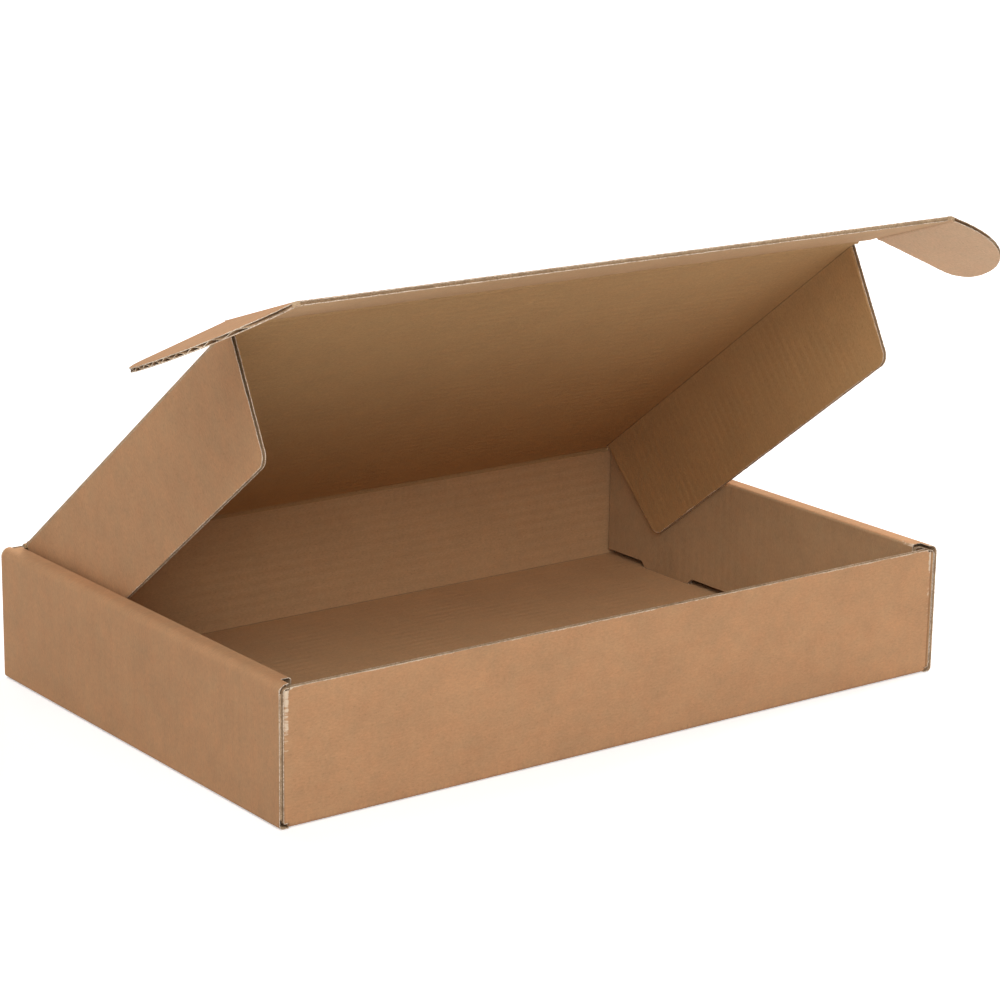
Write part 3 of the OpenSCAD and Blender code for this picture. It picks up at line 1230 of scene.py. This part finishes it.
    def flutes(self) -> list[bpy.types.Object]:
        """Fluted paper in the floor, the walls and the rolled-in panels."""
        s, b, gap = self.sizes, self.sizes.board, self.in_fold
        y_out, top = s.width / 2, s.height - b.thick - gap
        front, rear = self.roll_ends
        made = [self.flute("floor_flutes", (-s.x_side + gap, s.x_side - gap),
                           (-s.y_wall + gap, s.y_wall - gap), Matrix.Translation(mm(0, 0, b.half)))]
        for end, wall_top in ((-1, s.height - s.front_drop), (1, s.z_hinge - s.fold_reach)):
            made.append(self.flute("end_flutes", (-s.x_corner + gap, s.x_corner - gap),
                                   (b.thick + gap, wall_top - self.rim_in), stood_up(end * (s.y_wall + b.half)),
                                   lean=0.009))
        for side in (-1, 1):
            outer, inner = upright(side, s.x_side + b.half), upright(side, s.x_roll - b.half)
            made.append(self.flute("side_flutes", (b.thick + gap, top),
                                   (-y_out + self.edge_in, y_out - self.edge_in), outer, phase=0.3))
            made.append(self.flute("roll_flutes", (s.shoulder + self.tab_in, top),
                                   (front + self.edge_in, rear - self.edge_in), inner))
            half = s.tab_wide / 2 - self.edge_in
            made.extend(self.flute("tab_flutes", (s.tab_lift + self.tab_in, s.shoulder + self.tab_in),
                                   (at - half, at + half), inner) for at in (-s.tab_at, s.tab_at))
        return made


@dataclass
class Lid(Board):
    """Lid panel with its two side flaps."""

    name: str = "lid_board"
    node: str = "lid"
    body: str = "lid"
    slot: str = "lid_board"
    blank_at: Spot = (0.0, 440.0)
    edge_in: float = 0.25
    spare: float = 1.0
    corner_share: float = 0.85
    corner_steps: int = 6

    def frame(self) -> Matrix:
        """The closed lid's frame, turned open."""
        return self.sizes.lid_frame()

    def folds(self) -> list[tuple[int, float]]:
        """The hinge side and the tuck panel's side."""
        return [(1, -self.sizes.fold_reach), (1, self.sizes.fold_reach - self.sizes.reach)]

    def _flap_ends(self) -> tuple[float, float, float, float]:
        """Rear and front ends of a flap's fold on the inside face, and of its lower edge."""
        s = self.sizes
        share = s.board.thick / s.lid_flap_deep
        rear, front = s.lid_flap_rear, s.reach - s.lid_flap_front
        return (rear + s.slant_rear * share, front - s.slant_front * share,
                rear + s.slant_rear, front - s.slant_front)

    def sheet(self) -> bpy.types.Object:
        """The lid's inside face, with the flaps pulled down."""
        s, b = self.sizes, self.sizes.board
        z, inner, bottom = -b.half, s.x_lid - b.thick, b.half - s.lid_flap_deep
        rear, front, low_rear, low_front = self._flap_ends()
        bench = Bench("lid_sheet", (-inner, s.fold_reach - s.reach), (inner, -s.fold_reach), z)
        with editing(bench.obj):
            bench.flip()
            bench.cut(1, [-rear, -front])
            for x in (-inner, inner):
                bench.pull((x, -front, z), (x, -rear, z), (0, 0, bottom - z))
                bench.shift((x, -rear, bottom), (0, rear - low_rear, 0))
                bench.shift((x, -front, bottom), (0, front - low_front, 0))
                bench.pick(Pick.CORNER, (x, -low_front, bottom), (x, -low_rear, bottom))
                bpy.ops.mesh.bevel(offset=s.lid_flap_r * self.corner_share * MM, segments=self.corner_steps + 1,
                                   affect="VERTICES")
        unfold(bench.obj, self.blank_at)
        return bench.obj

    def flutes(self) -> list[bpy.types.Object]:
        """Fluted paper in the lid and in its flaps, whose lower corners are rounded."""
        s, b = self.sizes, self.sizes.board
        inner = s.x_lid - b.thick
        rear, front, low_rear, low_front = self._flap_ends()
        top, bottom = -b.half - self.in_fold, b.half - s.lid_flap_deep + self.edge_in
        outline = [(top, -rear), (top, -front)]
        for corner, back, ahead in (
            ((bottom, -low_front), Vector((top - bottom, low_front - front)), Vector((0, 1))),
            ((bottom, -low_rear), Vector((0, -1)), Vector((top - bottom, low_rear - rear))),
        ):
            outline.extend(rounded_corner(corner, back, ahead, s.lid_flap_r, self.corner_steps))
        made = [self.flute("lid_flutes", (-inner + self.in_fold, inner - self.in_fold),
                           (s.fold_reach - s.reach, -s.fold_reach), Matrix.Identity(4))]
        for side in (-1, 1):
            made.append(self.flute("lid_flap_flutes", (b.half - s.lid_flap_deep - self.spare, top),
                                   (-front - self.spare, -rear + self.spare), upright(side, inner + b.half),
                                   outline=outline, phase=0.15))
        return made


def rounded_corner(corner: Spot, back: Vector, ahead: Vector, radius: float, steps: int) -> list[Spot]:
    """Points of an arc that rounds an outline's corner.

    Args:
        corner: The corner.
        back: Direction from the corner to where the outline comes from.
        ahead: Direction from the corner to where it goes.
        radius: The arc's radius.
        steps: Faces along the arc.

    Returns:
        The points, from the first line to the second.
    """
    back, ahead = back.normalized(), ahead.normalized()
    half = back.angle(ahead) / 2
    middle = Vector(corner) + (back + ahead).normalized() * radius / math.sin(half)
    first = Vector(corner) + back * radius / math.tan(half) - middle
    second = Vector(corner) + ahead * radius / math.tan(half) - middle
    a, b = math.atan2(first.y, first.x), math.atan2(second.y, second.x)
    if b - a > math.pi:
        b -= math.tau
    if a - b > math.pi:
        b += math.tau
    turns = [a + (b - a) * i / steps for i in range(steps + 1)]
    return [(middle.x + radius * math.cos(turn), middle.y + radius * math.sin(turn)) for turn in turns]


@dataclass
class TuckPanel(Board):
    """Front panel that is tucked behind the front wall."""

    name: str = "tuck_board"
    node: str = "tuck_panel"
    body: str = "tuck"
    slot: str = "tuck_board"
    blank_at: Spot = (0.0, 520.0)
    edge_in: float = 3.0
    flank_half: float = 1.0

    def frame(self) -> Matrix:
        """The tuck panel's frame at rest."""
        return self.sizes.tuck_frame()

    def folds(self) -> list[tuple[int, float]]:
        """The lid's side and the ears' sides."""
        end = self.sizes.x_ear - self.sizes.ear_fold_reach
        return [(1, -self.sizes.fold_reach), (0, end), (0, -end)]

    def sheet(self) -> bpy.types.Object:
        """The tuck panel's inside face, its ends narrowed for the ears."""
        s, b = self.sizes, self.sizes.board
        z, end = -b.half, s.x_ear - s.ear_fold_reach
        bench = Bench("tuck_sheet", (-s.x_ear, -s.tuck_deep), (s.x_ear, -s.fold_reach), z)
        with editing(bench.obj):
            bench.flip()
            bench.cut(0, [-end, end])
            bench.cut(1, [-s.ear_root])
            for side in (-1, 1):
                low, high = sorted((side * end, side * s.x_ear))
                bench.drop((low, -s.tuck_deep, z), (high, -s.ear_root, z))
        unfold(bench.obj, self.blank_at)
        return bench.obj

    def flutes(self) -> list[bpy.types.Object]:
        """Its fluted paper, and the flank of the cut flute that closes the free edge."""
        s = self.sizes
        run = (s.ear_fold_reach - s.x_ear, s.x_ear - s.ear_fold_reach)
        return [self.flute("tuck_flutes", run, (-s.tuck_deep + self.edge_in, -s.fold_reach),
                           Matrix.Identity(4)),
                self.flute("tuck_edge_flank", run, (-self.flank_half, self.flank_half),
                           stood_up(self.flank_half - s.tuck_deep), lean=0.003)]


def outlined_face(name: str, points: Sequence[Vector]) -> bpy.types.Object:
    """Makes one face from a circle, its corners put where an outline runs.

    Args:
        name: The object's name.
        points: The outline, in metres.

    Returns:
        The face.
    """
    obj = add_primitive(bpy.ops.mesh.primitive_circle_add, name, vertices=len(points), radius=1,
                        fill_type="NGON")
    for corner, point in zip(obj.data.vertices, points):
        corner.co = point
    return obj


@dataclass
class Ear(Board):
    """Rounded ear at one end of the tuck panel."""

    side: Side = Side.RIGHT
    slot: str = "ear_board"
    blank_at: Spot = (228.0, 520.0)
    edge_in: float = 0.3
    arc_steps: int = 26
    corner_steps: int = 8

    def frame(self) -> Matrix:
        """The ear's frame at rest, mirrored on the left."""
        return self.sizes.ear_frame(self.side)

    def folds(self) -> list[tuple[int, float]]:
        """The tuck panel's side."""
        return [(0, self.sizes.ear_fold_reach)]

    def outline(self, inset: float = 0.0) -> list[Spot]:
        """The ear's outline, from its fold round its end and back.

        Args:
            inset: How far inside the real outline it runs.

        Returns:
            The points, turning left.
        """
        s = self.sizes
        arc_y = -(s.ear_root + s.ear_r - 2)
        arc_r = ((s.tuck_deep + arc_y) ** 2 + s.ear_long**2) / (2 * s.ear_long)
        middle = (s.ear_long - arc_r, arc_y)
        start_x = s.ear_fold_reach
        first = math.atan2(-math.sqrt(arc_r**2 - (start_x - middle[0]) ** 2), start_x - middle[0])
        turns = [first * (1 - i / self.arc_steps) for i in range(self.arc_steps)]
        arc = [(middle[0] + (arc_r - inset) * math.cos(turn), middle[1] + (arc_r - inset) * math.sin(turn))
               for turn in turns]
        top = -s.ear_root - inset
        corner = rounded_corner((s.ear_long - inset, top), Vector((0, -1)), Vector((-1, 0)), s.ear_r,
                                self.corner_steps)
        return [(start_x, arc[0][1]), *arc[1:], *corner, (start_x, top)]

    def sheet(self) -> bpy.types.Object:
        """The ear's inside face."""
        obj = outlined_face("ear_sheet", [mm(x, y, -self.sizes.board.half) for x, y in self.outline()])
        with editing(obj):
            bpy.ops.mesh.select_all(action="SELECT")
            mesh = bmesh.from_edit_mesh(obj.data)
            mesh.normal_update()
            if mesh.faces[:][0].normal.z > 0:
                bpy.ops.mesh.flip_normals()
        unfold(obj, self.blank_at)
        return obj

    def flutes(self) -> list[bpy.types.Object]:
        """Its fluted paper, whose open ends show along the round edge."""
        s = self.sizes
        return [self.flute("ear_flutes", (s.ear_fold_reach, s.ear_long), (-s.tuck_deep, -s.ear_root),
                           Matrix.Identity(4), outline=self.outline(self.edge_in), phase=0.2)]


@dataclass
class Fold:
    """A pressed fold that bends between two bodies.

    Its section is drawn with P towards the fold in the first panel's plane and Q to the outside.
    """

    sizes: Sizes
    finish: BoardFinish
    name: str
    bodies: tuple[str, str]
    reach: float
    bend: float
    run: Spot
    frame: Matrix
    slot: str
    steps: int = 16
    press_in: float = 0.75
    press_out: float = 0.12

    def _section(self) -> list[Spot]:
        """The section's points, along the outside and back along the inside."""
        half = self.sizes.board.half
        rows: list[list[Spot]] = []
        for q_side, press in ((1, self.press_out), (-1, self.press_in)):
            row = []
            for i in range(self.steps + 1):
                t = i / self.steps
                p = self.reach * (2 * t - 1)
                q = q_side * (half - press * math.sin(math.pi * t) ** 2)
                angle = math.radians(self.bend) * t * t * (3 - 2 * t)
                along, out = math.cos(angle), math.sin(angle)
                row.append((p * along + q * out, -p * out + q * along))
            rows.append(row)
        return [*rows[0], *reversed(rows[1])]

    def build(self) -> bpy.types.Object:
        """Makes the fold, dresses it and bends it between its bodies."""
        obj = outlined_face(self.name, [mm(self.run[0], p, q) for p, q in self._section()])
        with editing(obj):
            bpy.ops.mesh.select_all(action="SELECT")
            step = mm(self.run[1] - self.run[0], 0, 0)
            bpy.ops.mesh.extrude_region_move(TRANSFORM_OT_translate={"value": step})
            bpy.ops.mesh.select_all(action="SELECT")
            bpy.ops.mesh.normals_make_consistent(inside=False)
        obj.data.uv_layers[0].name = BLANK_UV
        lay_flat(obj)
        self.finish.dress(obj)
        angle = math.radians(self.bend)
        outward = Vector((0, math.sin(angle / 2), math.cos(angle / 2)))
        for face in obj.data.polygons:
            skin = Skin.OUTSIDE if face.normal.dot(outward) > 0 else Skin.INSIDE
            face.material_index = (Skin.FLUTE if abs(face.normal.x) > 0.9 else skin).value
        settle(obj, self.frame)
        start = self.frame @ mm(0, -self.reach, 0)
        end = self.frame @ mm(0, self.reach * math.cos(angle), -self.reach * math.sin(angle))
        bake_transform(obj, self.bodies[0], self.bodies[1], start=start, end=end)
        LOG.info("%s bends between %s and %s", obj.name, *self.bodies)
        return obj


def all_folds(sizes: Sizes, finish: BoardFinish, ear_finish: BoardFinish) -> list[Fold]:
    """Lists the folds that move: under the lid, at the tuck panel and at the two ears.

    Args:
        sizes: The box's sizes.
        finish: The finish of the lid's two folds, which carries the lid's painted shade.
        ear_finish: The finish of the ears' folds, which carries the ears' painted light.

    Returns:
        The four folds.
    """
    s = sizes

    def axes(p: Vector, q: Vector) -> Matrix:
        """A frame with Y along P and Z along Q."""
        x = p.cross(q)
        return Matrix((x, p, q)).transposed().to_4x4()

    hinge = Matrix.Translation(mm(0, s.y_hinge, s.z_hinge)) @ axes(Vector((0, 0, 1)), Vector((0, 1, 0)))
    front = s.lid_frame() @ Matrix.Translation(mm(0, -s.reach, 0))
    front = front @ axes(Vector((0, -1, 0)), Vector((0, 0, 1)))
    run = (-s.x_lid, s.x_lid)
    folds = [
        Fold(s, finish, "lid_fold", ("tray", "lid"), s.fold_reach, 90 - s.lid_open, run, hinge, "lid_board"),
        Fold(s, finish, "tuck_fold_strip", ("lid", "tuck"), s.fold_reach, s.tuck_fold, run, front,
             "tuck_board"),
    ]
    for side, body, bend in ((Side.LEFT, "ear_l", s.ear_left_fold), (Side.RIGHT, "ear_r", s.ear_right_fold)):
        place = s.tuck_frame() @ Matrix.Translation(mm(side.value * s.x_ear, 0, 0))
        frame = place @ axes(Vector((side.value, 0, 0)), Vector((0, 0, 1)))
        ends = sorted((-side.value * -s.ear_root, -side.value * -s.tuck_deep))
        folds.append(Fold(s, ear_finish, f"ear_fold_{side.name.lower()}", ("tuck", body), s.ear_fold_reach,
                          bend, (ends[0], ends[1]), frame, "ear_board"))
    return folds


@dataclass(frozen=True)
class Lamp:
    """A soft square lamp that is aimed at the box, in metres and watts."""

    name: str
    place: Point
    watts: float
    size: float = 1.2
    aim: Point = (0.0, 0.0, 0.08)

    def hang(self) -> None:
        """Makes the lamp and turns it to the box."""
        data = bpy.data.lights.new(self.name, "AREA")
        data.shape = "SQUARE"
        data.size = self.size
        data.energy = self.watts
        lamp = bpy.data.objects.new(self.name, data)
        bpy.context.scene.collection.objects.link(lamp)
        lamp.location = self.place
        lamp.rotation_euler = (Vector(self.aim) - Vector(self.place)).to_track_quat("-Z", "Y").to_euler()


LAMPS = (
    Lamp("key", (-1.2, -2.4, 2.4), 43),
    Lamp("front", (-1.8, -2.4, 1.2), 19),
    Lamp("side", (-2.8, -0.2, 1.0), 4),
    Lamp("top", (-1.4, -1.4, 2.6), 22),
    Lamp("sweep", (2.0, 0.5, 2.2), 71),
    Lamp("rear", (0.0, 2.0, 2.2), 10),
)


@dataclass(frozen=True)
class Studio:
    """Floor, soft lamps, white backdrop and the camera."""

    yaw: float = 36.743
    pitch: float = 15.314
    roll: float = -0.828
    lens: float = 111.593
    camera_at: Point = (-1051.17, -1433.63, 595.67)
    room_light: float = 0.05

    def camera(self) -> bpy.types.Object:
        """Stands the camera where the photograph was taken from."""
        data = bpy.data.cameras.new("camera")
        data.lens = self.lens
        data.sensor_width = 36.0
        data.clip_start, data.clip_end = 0.05, 50.0
        camera = bpy.data.objects.new("camera", data)
        bpy.context.scene.collection.objects.link(camera)
        yaw, pitch, roll = (math.radians(v) for v in (self.yaw, self.pitch, self.roll))
        ahead = Vector((math.sin(yaw) * math.cos(pitch), math.cos(yaw) * math.cos(pitch), -math.sin(pitch)))
        level = Vector((math.cos(yaw), -math.sin(yaw), 0))
        down = ahead.cross(level)
        right = level * math.cos(roll) + down * math.sin(roll)
        up = -(down * math.cos(roll) - level * math.sin(roll))
        turn = Matrix((right, up, -ahead)).transposed().to_4x4()
        camera.matrix_world = Matrix.Translation(mm(*self.camera_at)) @ turn
        bpy.context.scene.camera = camera
        return camera

    def floor(self) -> bpy.types.Object:
        """Lays the pale floor, which the camera sees as white outside the object's shadow."""
        floor = add_primitive(bpy.ops.mesh.primitive_plane_add, "floor", size=30, location=(0, 0, -0.0004))
        material, graph = new_material("pale_floor")
        matt = graph.add("ShaderNodeBsdfPrincipled", {"Base Color": (0.86, 0.86, 0.86, 1), "Roughness": 0.9,
                                                      "Specular IOR Level": 0.0}).outputs[0]
        away = graph.add("ShaderNodeVectorMath", {0: graph.add("ShaderNodeTexCoord").outputs["Object"]},
                         operation="LENGTH").outputs[1]
        glow = graph.span(away, 0.8, 2.5, 0.45, 1.0)
        white = graph.add("ShaderNodeEmission", {"Color": (1, 1, 1, 1), "Strength": glow}).outputs[0]
        both = graph.add("ShaderNodeAddShader", {0: matt, 1: white}).outputs[0]
        pick = graph.add("ShaderNodeMixShader", {0: graph.seen(), 1: matt, 2: both}).outputs[0]
        graph.add("ShaderNodeOutputMaterial", {0: pick})
        floor.data.materials.append(material)
        return floor

    def world(self) -> None:
        """Fills the room with even light and a white backdrop."""
        world = bpy.data.worlds.new("studio")
        world.use_nodes = True
        graph = Graph(world.node_tree)
        room = {"Color": (1, 1, 1, 1), "Strength": self.room_light}
        even = graph.add("ShaderNodeBackground", room).outputs[0]
        white = graph.add("ShaderNodeBackground", {"Color": (1, 1, 1, 1), "Strength": 1.0}).outputs[0]
        pick = graph.add("ShaderNodeMixShader", {0: graph.seen(), 1: even, 2: white}).outputs[0]
        graph.add("ShaderNodeOutputWorld", {0: pick})
        bpy.context.scene.world = world

    def build(self) -> None:
        """Sets up the whole studio."""
        bpy.context.scene.view_settings.view_transform = "Standard"
        self.camera()
        self.floor()
        self.world()
        for lamp in LAMPS:
            lamp.hang()


def main() -> None:
    """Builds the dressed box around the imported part."""
    logging.basicConfig(level=logging.INFO, format="%(message)s")
    noise.seed_set(RAG_SEED)
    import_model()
    sizes = Sizes()
    Studio().build()
    effects = PaperEffects()
    # Painted light and shade: the inside liners are one paper, but each board gets its own tone. It is darker
    # for the lid's downward face, as painted shade, and lighter for the ears, as painted bounce light from the
    # floor.
    tray, lid, tuck, ear = (BoardFinish(sizes.board, effects, name, tone) for name, tone in (
        ("tray", (0.580, 0.357, 0.187)),
        ("lid", (0.480, 0.283, 0.126)),
        ("tuck", (0.560, 0.350, 0.190)),
        ("ear", (0.655, 0.445, 0.285)),
    ))
    Tray(sizes, tray).build()
    Lid(sizes, lid).build()
    TuckPanel(sizes, tuck).build()
    Ear(sizes, ear, name="ear_left_board", node="ear_left", body="ear_l", side=Side.LEFT).build()
    Ear(sizes, ear, name="ear_right_board", node="ear_right", body="ear_r", side=Side.RIGHT).build()
    for fold in all_folds(sizes, lid, ear):
        fold.build()


if __name__ == "__main__":
    main()
